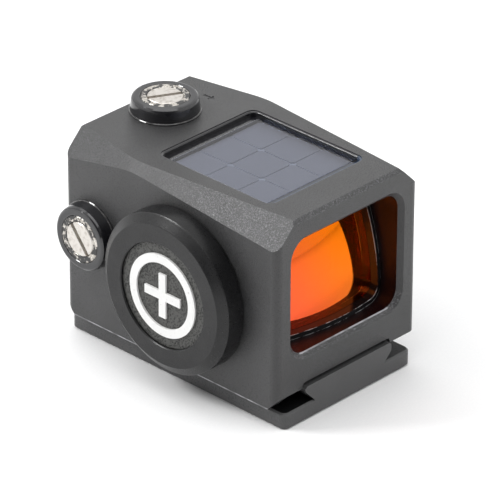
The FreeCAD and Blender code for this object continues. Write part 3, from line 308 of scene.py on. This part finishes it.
EDGE_WEAR_AND_HIGHLIGHT_LIFT = 3.5                  # how much lighter an edge of the anodise is, partly rubbed wear and partly a painted highlight
OFF_WALL, OFF_ROOF = (0.1, 0.3), (0.97, 0.9)       # normal's height on neither a wall nor the roof
FACET_HIGHLIGHT_Y = (10.0, -14.0)        # the painted highlight on the facets grows stronger and grainier from the kink to the front
# painted highlight colour of the sparkle on the shoulder facets
FACET_HIGHLIGHT_COLOUR = (0.19, 0.19, 0.20)
# painted highlight colour of the bright lines along the skirt and under the window
LINE_HIGHLIGHT_COLOUR = (0.42, 0.42, 0.44)
SKIRT_INNER = (2.6, 2.55)        # from the battery side inwards
SKIRT_LINE_TOP = (0.80, 0.72)    # painted highlight line, above the jaw's lowest point
SKIRT_LINE_LOW = (0.50, 0.58)
WINDOW_LINE_Y = (0.62, 0.84)     # behind the front face
WINDOW_LINE_Z = (-0.2, 0.05)     # about the lens cell's lowest point
WINDOW_LINE_INSET = 2.0
HOOD_DEPTH = 0.85                # where the black inside begins
HOOD_GROW = 0.9
CAP_RECESS_R = (9.12, 9.0)
CAP_RECESS_X = (-19.5, -20.0)
# where the painted shade lies on top of the flange
FLANGE_UP = (0.95, 0.99)
FLANGE_TOP_Z = (3.6, 3.2)
CELL_SIDE = (0.9, 0.5)           # normal's height on the cut sides of the solar cells
# where the painted blue reflection on the sealant's front begins
SEALANT_BLUE_REFLECTION_Y = (-15.3, -15.6)
SCREW_SPLIT_X = (-12.0, -14.0)   # roof screw to the right of it, side screw to the left


def blasted(shade, dark, light, grain=0.16):
    """Inputs of a matte bead-blasted anodised surface whose edges are lighter, partly from wear and
    partly as a painted highlight.
    """
    fine = shade.noise(grain, 3.0, 0.7)
    broad = shade.noise(6.0, 3.0, 0.5)
    colour = shade.mix(shade.spread(broad, *MILD), dark, light)
    scuff = shade.spread(shade.noise(0.9, 4.0, 0.6), *PATCHY)
    # edges lighter: partly rubbed wear, partly a painted highlight
    worn = shade.math("MULTIPLY", shade.edge(0.12), shade.blend(scuff, 0.25, 0.7))
    colour = shade.mix(worn, colour, [EDGE_WEAR_AND_HIGHLIGHT_LIFT * c for c in light])
    rough = shade.spread(fine, *MILD, 0.40, 0.24)
    normal = shade.bump(fine, 0.06)
    return {"Base Color": colour, "Roughness": rough, "Normal": normal}


def leaning(shade):
    """1 on the shoulder facets and 0 on the roof and the walls, from the true normal's height."""
    height = shade.height_of_normal()
    return shade.math("MULTIPLY", shade.spread(height, *OFF_WALL), shade.spread(height, *OFF_ROOF))


def skirt_line_highlight(shade):
    """1 along the lower outer edge of the wall on the battery side, where a painted highlight line lies.
    """
    low = box_mm("housing")[0]
    outer = shade.spread(shade.axis("X"), *(low.x + step for step in SKIRT_INNER))
    lowest = shade.spread(shade.axis("Z"), *(low.z + step for step in SKIRT_LINE_TOP))
    above = shade.spread(shade.axis("Z"), *(low.z + step for step in SKIRT_LINE_LOW))
    patchy = shade.spread(shade.noise(2.2, 3.0, 0.6), 0.35, 0.6, 0.25, 1.0)
    line = shade.math("MULTIPLY", lowest, above)
    return shade.math("MULTIPLY", shade.math("MULTIPLY", outer, patchy), line)


def window_line_highlight(shade):
    """1 along the inner edge of the bevel under the front window, where a painted highlight line lies."""
    low, high = box_mm("objective_cell")
    front = box_mm("housing")[0].y
    near = (low.x + WINDOW_LINE_INSET, front + WINDOW_LINE_Y[0], low.z + WINDOW_LINE_Z[0])
    far = (high.x - WINDOW_LINE_INSET, front + WINDOW_LINE_Y[1], low.z + WINDOW_LINE_Z[1])
    share = shade.inside(near, far, 0.02)
    return shade.math("MULTIPLY", share, shade.spread(shade.noise(3.0), 0.35, 0.5, 0.4, 1.0))


def housing_aluminium():
    """Charcoal anodise outside, with painted highlights: sparkle on the shoulder facets and bright lines
    along the skirt and under the window. Glossy black inside the hood and the light tunnel, its faint red
    tint a painted reflection of the orange lens.
    """
    shade = Shader("housing_aluminium")
    outside = blasted(shade, (0.031, 0.031, 0.0315), (0.037, 0.037, 0.038))
    # painted highlight: lighter grainy sparkle on the shoulder facets, stronger towards the front
    facet = shade.math("MULTIPLY", leaning(shade), shade.spread(shade.axis("Y"), *FACET_HIGHLIGHT_Y, 0.35, 1.0))
    painted_facet_sparkle = shade.math("MULTIPLY", facet, shade.spread(shade.noise(0.2, 2.0, 0.8), 0.50, 0.66))
    outside["Base Color"] = shade.mix(painted_facet_sparkle, outside["Base Color"], FACET_HIGHLIGHT_COLOUR)
    # painted highlight lines along the skirt's lower edge and under the front window
    painted_line_highlights = shade.math("MAXIMUM", skirt_line_highlight(shade), window_line_highlight(shade))
    outside["Base Color"] = shade.mix(painted_line_highlights, outside["Base Color"], LINE_HIGHLIGHT_COLOUR)
    low, high = box_mm("objective_cell")
    low = Vector((low.x - HOOD_GROW, box_mm("housing")[0].y + HOOD_DEPTH, low.z - HOOD_GROW))
    high = Vector((high.x + HOOD_GROW, box_mm("rear_frame")[1].y, high.z + HOOD_GROW))
    inner = shade.inside(low, high, 0.02)
    # the faint red tint of this black is a painted reflection of the orange lens
    black = shade.speckle((0.007, 0.0025, 0.003), (0.012, 0.0035, 0.004), 1.5)
    smear = shade.spread(shade.noise(2.5, 3.0), *MILD, 0.10, 0.2)
    shade.principled({
        "Base Color": shade.mix(inner, outside["Base Color"], black),
        "Roughness": shade.blend(inner, outside["Roughness"], smear),
        "Specular IOR Level": shade.blend(inner, 0.5, 0.25),
        "Normal": outside["Normal"],
    })
    return shade.material


def base_aluminium():
    """The same anodise, with painted shade making the top of the flange nearly black."""
    shade = Shader("base_aluminium")
    looks = blasted(shade, (0.052, 0.052, 0.053), (0.060, 0.060, 0.061))
    # painted shade: the top of the flange is darkened nearly to black and mirrors less
    upward = shade.spread(shade.height_of_normal(), *FLANGE_UP)
    flange = shade.math("MULTIPLY", upward, shade.spread(shade.axis("Z"), *FLANGE_TOP_Z))
    looks["Base Color"] = shade.mix(flange, looks["Base Color"], (0.007, 0.007, 0.0075))
    looks["Specular IOR Level"] = shade.blend(flange, 0.5, 0.15)
    shade.principled(looks)
    return shade.material


def cap_aluminium():
    """Satin black turned cap whose recessed face is stippled."""
    shade = Shader("cap_aluminium")
    centre = middle_mm("battery_cap")
    lathe = shade.turned("X", centre, 0.09)
    grain = shade.noise(0.22, 3.0, 0.65)
    pits = shade.spread(shade.cells(0.34), 0.15, 0.6)
    within = shade.spread(shade.radius("X", centre), *CAP_RECESS_R)
    floor = shade.math("MULTIPLY", within, shade.spread(shade.axis("X"), *CAP_RECESS_X))
    colour = shade.speckle((0.006, 0.006, 0.0065), (0.010, 0.010, 0.0105), 4.0)
    stipple = shade.mix(pits, (0.004, 0.004, 0.004), (0.07, 0.07, 0.066))
    worn = shade.math("MULTIPLY", shade.edge(0.1), 0.15)
    height = shade.blend(floor, shade.math("MULTIPLY", lathe, 0.12), shade.math("ADD", pits, grain))
    shade.principled({
        "Base Color": shade.mix(worn, shade.mix(floor, colour, stipple), (0.2, 0.2, 0.2)),
        "Roughness": shade.blend(floor, shade.spread(grain, *MILD, 0.26, 0.36), 0.5),
        "Specular IOR Level": 0.36,
        "Normal": shade.bump(height, 0.06),
    })
    return shade.material


def emblem_white():
    shade = Shader("emblem_white")
    worn = shade.spread(shade.noise(0.5, 4.0, 0.6), 0.62, 0.75)
    shade.principled({
        "Base Color": shade.mix(worn, (0.76, 0.76, 0.75), (0.52, 0.52, 0.50)),
        "Roughness": shade.spread(shade.noise(0.3), *MILD, 0.45, 0.6),
        "Normal": shade.bump(shade.noise(0.12), 0.008),
    })
    return shade.material


def turret_black():
    """Polished black anodise, faintly turned."""
    shade = Shader("turret_black")
    rubbed = shade.spread(shade.noise(0.7, 4.0), 0.35, 0.6, 0.15, 0.7)
    worn = shade.math("MULTIPLY", shade.edge(0.1), rubbed)
    shade.principled({
        "Base Color": shade.mix(worn, (0.012, 0.012, 0.014), (0.36, 0.35, 0.33)),
        "Roughness": shade.spread(shade.noise(1.2, 4.0), *MILD, 0.06, 0.14),
        "Specular IOR Level": 0.8,
        "Metallic": 0.1,
        "Normal": shade.bump(shade.noise(0.25, 3.0), 0.004),
    })
    return shade.material


def screw_steel():
    """Bare turned steel; the concentric marks follow each screw's own axis."""
    shade = Shader("screw_steel")
    upright = shade.turned("Z", middle_mm("elevation_screw"), 0.07)
    lying = shade.turned("X", middle_mm("windage_screw"), 0.07)
    on_side = shade.spread(shade.axis("X"), *SCREW_SPLIT_X)
    lathe = shade.blend(on_side, upright, lying)
    stain = shade.spread(shade.noise(0.9, 4.0, 0.6), 0.45, 0.75)
    worn = shade.math("MULTIPLY", shade.edge(0.08), 0.6)
    colour = shade.mix(stain, (0.64, 0.61, 0.57), (0.38, 0.345, 0.30))
    shade.principled({
        "Base Color": shade.mix(worn, colour, (0.85, 0.83, 0.8)),
        "Roughness": shade.spread(lathe, *MILD, 0.28, 0.42),
        "Metallic": 0.85,
        "Normal": shade.bump(lathe, 0.01),
    })
    return shade.material


def ring_steel():
    """Black finish worn through in patches to bare metal."""
    shade = Shader("ring_steel")
    patches = shade.noise(1.3, 5.0, 0.65)
    bare = shade.spread(patches, 0.49, 0.54)
    grime = shade.spread(shade.noise(0.25, 4.0, 0.6), 0.35, 0.7)
    metal = shade.mix(grime, (0.68, 0.65, 0.6), (0.36, 0.33, 0.29))
    shade.principled({
        "Base Color": shade.mix(bare, (0.035, 0.034, 0.034), metal),
        "Roughness": shade.spread(grime, 0.0, 1.0, 0.3, 0.5),
        "Metallic": shade.blend(bare, 0.2, 0.85),
        "Normal": shade.bump(patches, 0.03),
    })
    return shade.material


def black_steel():
    shade = Shader("black_steel")
    worn = shade.math("MULTIPLY", shade.edge(0.08), shade.spread(shade.noise(0.5, 4.0), 0.35, 0.6))
    shade.principled({
        "Base Color": shade.mix(worn, (0.03, 0.03, 0.032), (0.3, 0.3, 0.3)),
        "Roughness": shade.spread(shade.noise(0.4), *MILD, 0.35, 0.5),
        "Metallic": 0.6,
        "Normal": shade.bump(shade.noise(0.12), 0.006),
    })
    return shade.material


def coated_glass():
    """Objective's front element: a strong orange-red mirror coating, with a painted reflection shift that
    turns it yellower to one side.
    """
    shade = Shader("coated_glass")
    low, high = box_mm("objective_front_element")
    # painted reflection: the colour shifts from red to yellow across the lens by position
    across = shade.spread(shade.axis("X"), low.x, high.x, smooth=False)
    upward = shade.spread(shade.axis("Z"), low.z, high.z, smooth=False)
    share = shade.math("ADD", shade.math("MULTIPLY", across, 0.9), shade.math("MULTIPLY", upward, 0.35))
    cloud = shade.math("MULTIPLY", shade.math("SUBTRACT", shade.noise(5.0), 0.5), 0.06)
    share = shade.spread(shade.math("ADD", share, cloud), 0.1, 0.95)
    shade.principled({
        "Base Color": shade.mix(share, (1.0, 0.12, 0.048), (1.0, 0.20, 0.0)),
        "Roughness": shade.spread(shade.noise(3.0), *MILD, 0.03, 0.06),
        "Metallic": 1.0,
        "Alpha": 0.8,
    })
    return shade.material


def backing_glass():
    """Objective's rear element: clear, seen as dark blue-green because the orange is turned back."""
    shade = Shader("backing_glass")
    shade.principled({
        "Base Color": shade.speckle((0.01, 0.025, 0.028), (0.014, 0.03, 0.034), 4.0),
        "Roughness": shade.spread(shade.noise(3.0), *MILD, 0.02, 0.05),
        "Alpha": 0.35,
        "Specular IOR Level": 0.5,
    })
    return shade.material


def thin_glass(name, tint, haze):
    """Flat clear glass that mirrors more at a glancing angle, on its outer faces only."""
    shade = Shader(name)
    fresnel = shade.node("Fresnel", {"IOR": 1.5}).outputs[0]
    front = shade.math("SUBTRACT", 1.0, shade.node("NewGeometry", {}).outputs["Backfacing"])
    share = shade.math("MULTIPLY", fresnel, front)
    clear = shade.node("BsdfTransparent", {"Color": tint}).outputs[0]
    smear = shade.spread(shade.noise(3.5, 4.0), *MILD, 0.01, haze)
    gloss = shade.node("BsdfGlossy", {"Color": (0.98, 0.98, 1.0), "Roughness": smear}).outputs[0]
    both = shade.node("MixShader", {0: share, 1: clear, 2: gloss}).outputs[0]
    shade.tree.links.new(both, shade.output.inputs[0])
    return shade.material


def clear_glass():
    return thin_glass("clear_glass", (0.86, 0.93, 0.95), 0.03)


def solar_glass():
    return thin_glass("solar_glass", (0.90, 0.93, 1.0), 0.05)


def cell_black():
    """Gloss black anodise of the lens cell and the rear frame, with painted highlight glints along its
    edges.
    """
    shade = Shader("cell_black")
    # painted highlight: broken bright lines along the edges
    glints = shade.spread(shade.noise(1.6, 4.0, 0.7, (1.0, 1.0, 0.35)), 0.42, 0.56)
    worn = shade.math("MULTIPLY", shade.edge(0.16), glints)
    shade.principled({
        "Base Color": shade.mix(worn, (0.010, 0.009, 0.010), (0.85, 0.87, 0.88)),
        "Roughness": shade.spread(shade.noise(1.5, 3.0), *MILD, 0.12, 0.22),
        "Metallic": 0.2,
        "Normal": shade.bump(shade.noise(0.3), 0.004),
    })
    return shade.material


def solar_rim():
    """Poured glossy black sealant, a little wavy, with a painted dark blue reflection along the front."""
    shade = Shader("solar_rim")
    black = shade.speckle((0.008, 0.008, 0.010), (0.014, 0.014, 0.016), 0.8)
    # painted reflection: dark blue along the sealant's front
    front = shade.spread(shade.axis("Y"), *SEALANT_BLUE_REFLECTION_Y)
    shade.principled({
        "Base Color": shade.mix(front, black, (0.012, 0.028, 0.06)),
        "Roughness": shade.spread(shade.noise(1.0, 3.0), *MILD, 0.08, 0.16),
        "Coat Weight": 0.4,
        "Normal": shade.bump(shade.noise(1.3), 0.05),
    })
    return shade.material


def solar_cell():
    """Grey silicon with faint crystal grain; its cut sides are painted lighter to lift the shade in the
    gaps between cells.
    """
    shade = Shader("solar_cell")
    grain = shade.spread(shade.cells(1.1), 0.1, 0.7)
    silicon = shade.mix(grain, (0.090, 0.082, 0.078), (0.096, 0.088, 0.084))
    # painted light: the cut sides are lighter to offset the shade in the narrow gaps
    cut = shade.spread(shade.height_of_normal(), *CELL_SIDE)
    shade.principled({
        "Base Color": shade.mix(cut, silicon, (0.26, 0.26, 0.27)),
        "Roughness": shade.spread(grain, 0.0, 1.0, 0.3, 0.4),
        "Normal": shade.bump(shade.noise(0.4), 0.004),
    })
    return shade.material


def laminate(name, dark, light):
    """Board laminate with a faint weave."""
    shade = Shader(name)
    weave = shade.node("TexWave", {"Vector": shade.place, "Scale": 2.2, "Distortion": 1.0}).outputs["Fac"]
    shade.principled({
        "Base Color": shade.mix(shade.spread(shade.noise(1.2, 3.0), *MILD), dark, light),
        "Roughness": shade.spread(weave, 0.0, 1.0, 0.35, 0.5),
        "Normal": shade.bump(weave, 0.01),
    })
    return shade.material


def board_laminate():
    return laminate("board_laminate", (0.015, 0.085, 0.04), (0.025, 0.125, 0.06))


def solar_laminate():
    return laminate("solar_laminate", (0.20, 0.20, 0.20), (0.23, 0.23, 0.23))


def rubber(name):
    shade = Shader(name)
    dust = shade.spread(shade.noise(0.6, 4.0, 0.6), 0.5, 0.75)
    shade.principled({
        "Base Color": shade.mix(dust, (0.020, 0.020, 0.021), (0.045, 0.044, 0.043)),
        "Roughness": shade.spread(dust, 0.0, 1.0, 0.6, 0.78),
        "Sheen Weight": 0.1,
        "Normal": shade.bump(shade.noise(0.1, 2.0), 0.008),
    })
    return shade.material


def seal_rubber():
    return rubber("seal_rubber")


def button_rubber():
    return rubber("button_rubber")


def component_black():
    shade = Shader("component_black")
    shade.principled({
        "Base Color": shade.speckle((0.018, 0.018, 0.019), (0.035, 0.034, 0.034), 0.3),
        "Roughness": shade.spread(shade.noise(0.2), *MILD, 0.45, 0.6),
        "Normal": shade.bump(shade.noise(0.08), 0.006),
    })
    return shade.material


def emitter_red():
    shade = Shader("emitter_red")
    shade.principled({
        "Base Color": shade.speckle((0.55, 0.03, 0.02), (0.7, 0.06, 0.04), 0.4),
        "Roughness": shade.spread(shade.noise(0.5), *MILD, 0.08, 0.18),
        "Coat Weight": 0.3,
    })
    return shade.material


def machined(name, dark, light, low, high):
    """Bare machined or plated metal with fine straight marks."""
    shade = Shader(name)
    marks = shade.noise(0.12, 3.0, 0.6, (0.15, 1.0, 1.0))
    worn = shade.math("MULTIPLY", shade.edge(0.06), 0.5)
    colour = shade.mix(shade.spread(shade.noise(1.0, 4.0), *MILD), dark, light)
    shade.principled({
        "Base Color": shade.mix(worn, colour, (0.85, 0.85, 0.85)),
        "Roughness": shade.spread(marks, *MILD, low, high),
        "Metallic": 0.9,
        "Normal": shade.bump(marks, 0.006),
    })
    return shade.material


def frame_aluminium():
    return machined("frame_aluminium", (0.20, 0.20, 0.21), (0.3, 0.3, 0.31), 0.35, 0.5)


def contact_steel():
    return machined("contact_steel", (0.6, 0.6, 0.57), (0.74, 0.73, 0.7), 0.22, 0.35)


def battery_steel():
    return machined("battery_steel", (0.6, 0.6, 0.6), (0.7, 0.7, 0.69), 0.2, 0.32)


MATERIALS = {
    "housing_aluminium": housing_aluminium,
    "base_aluminium": base_aluminium,
    "cap_aluminium": cap_aluminium,
    "emblem_white": emblem_white,
    "turret_black": turret_black,
    "screw_steel": screw_steel,
    "ring_steel": ring_steel,
    "black_steel": black_steel,
    "clear_glass": clear_glass,
    "cell_black": cell_black,
    "solar_rim": solar_rim,
    "solar_glass": solar_glass,
    "solar_cell": solar_cell,
    "seal_rubber": seal_rubber,
    "button_rubber": button_rubber,
    "board_laminate": board_laminate,
    "component_black": component_black,
    "emitter_red": emitter_red,
    "frame_aluminium": frame_aluminium,
    "contact_steel": contact_steel,
    "battery_steel": battery_steel,
}

OWN_MATERIALS = {
    "objective_front_element": coated_glass,
    "objective_rear_element": backing_glass,
    "solar_board": solar_laminate,
}


def paint_nodes():
    """Gives every CAD node its material."""
    slot_of = {part["node"]: part["material_slot"] for part in frame["record"]["subparts"]}
    made = {}
    for name, thing in frame["nodes"].items():
        maker = OWN_MATERIALS.get(name) or MATERIALS[slot_of[name]]
        if maker not in made:
            made[maker] = maker()
        for place in thing.material_slots:
            place.material = made[maker]


bpy.context.scene.view_settings.view_transform = "Standard"
add_camera()
add_light()
add_floor()
paint_nodes()
